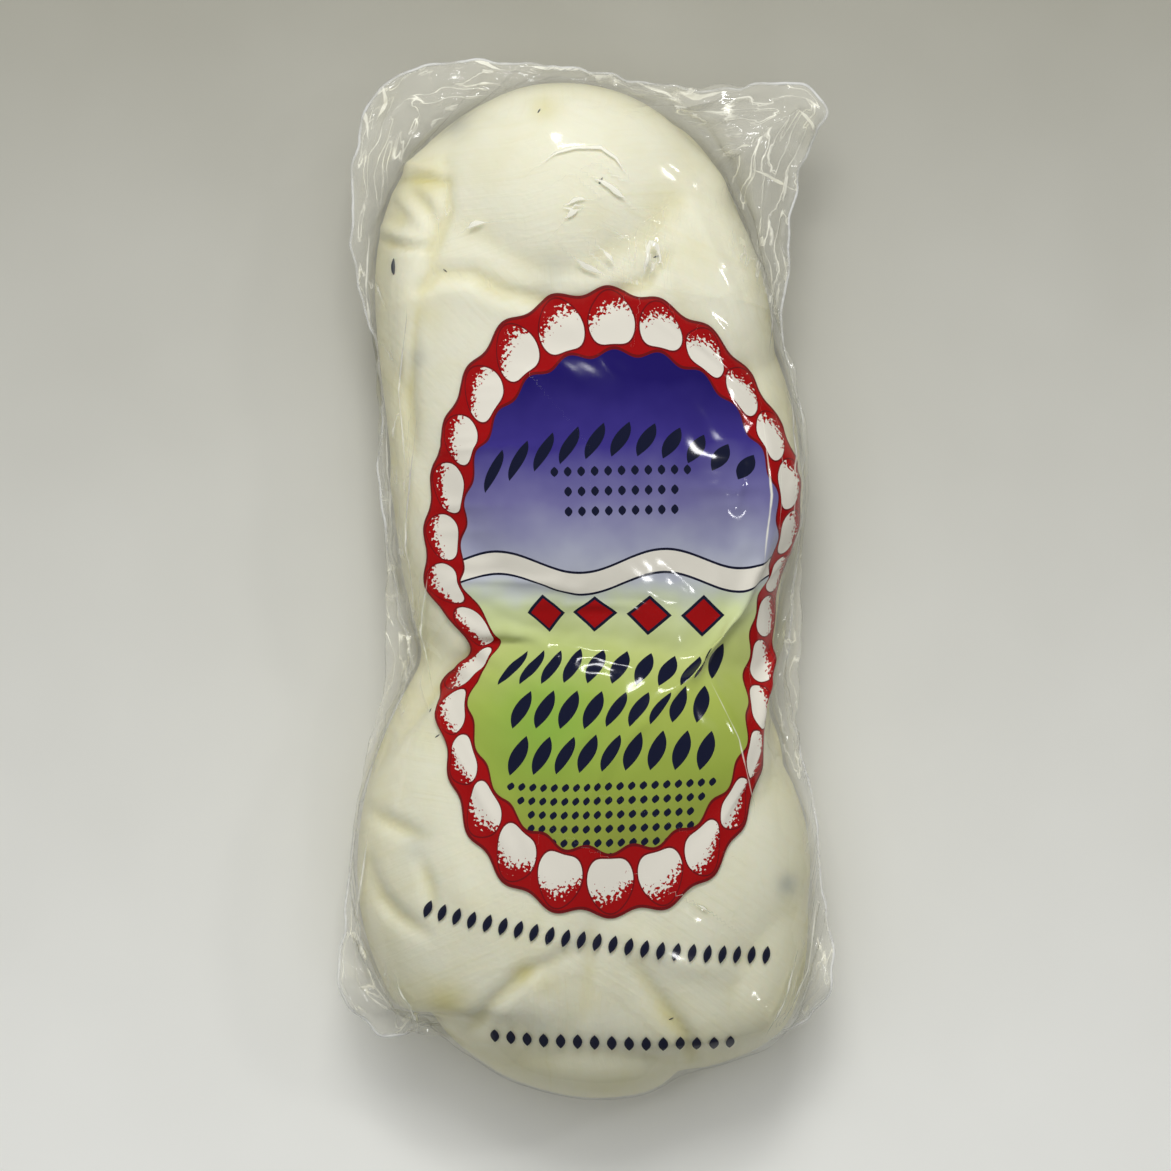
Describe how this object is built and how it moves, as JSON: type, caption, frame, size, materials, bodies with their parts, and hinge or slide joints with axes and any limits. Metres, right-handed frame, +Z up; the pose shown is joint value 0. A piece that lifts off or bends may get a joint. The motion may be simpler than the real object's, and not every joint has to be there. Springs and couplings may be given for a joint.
{
  "type": "vacuum packed braided string cheese",
  "caption": "Braid of white string cheese sealed tightly in a clear printed film pouch with a thin crinkled margin, lying on its back.",
  "frame": {"origin": "under the middle of the pack's box, on the surface it lies on", "axes": "+Z up out of the printed face, +Y towards the top edge of the pouch, +X to the right as the print is read"},
  "size_m": [0.1, 0.208, 0.04],
  "materials": {
    "cheese": "moist, soft gloss",
    "clear_film": "clear, glossy, crinkled",
    "seeds": "dull black"
  },
  "bodies": {
    "root": {"sealed_pack": "cheese"}
  },
  "joints": []
}
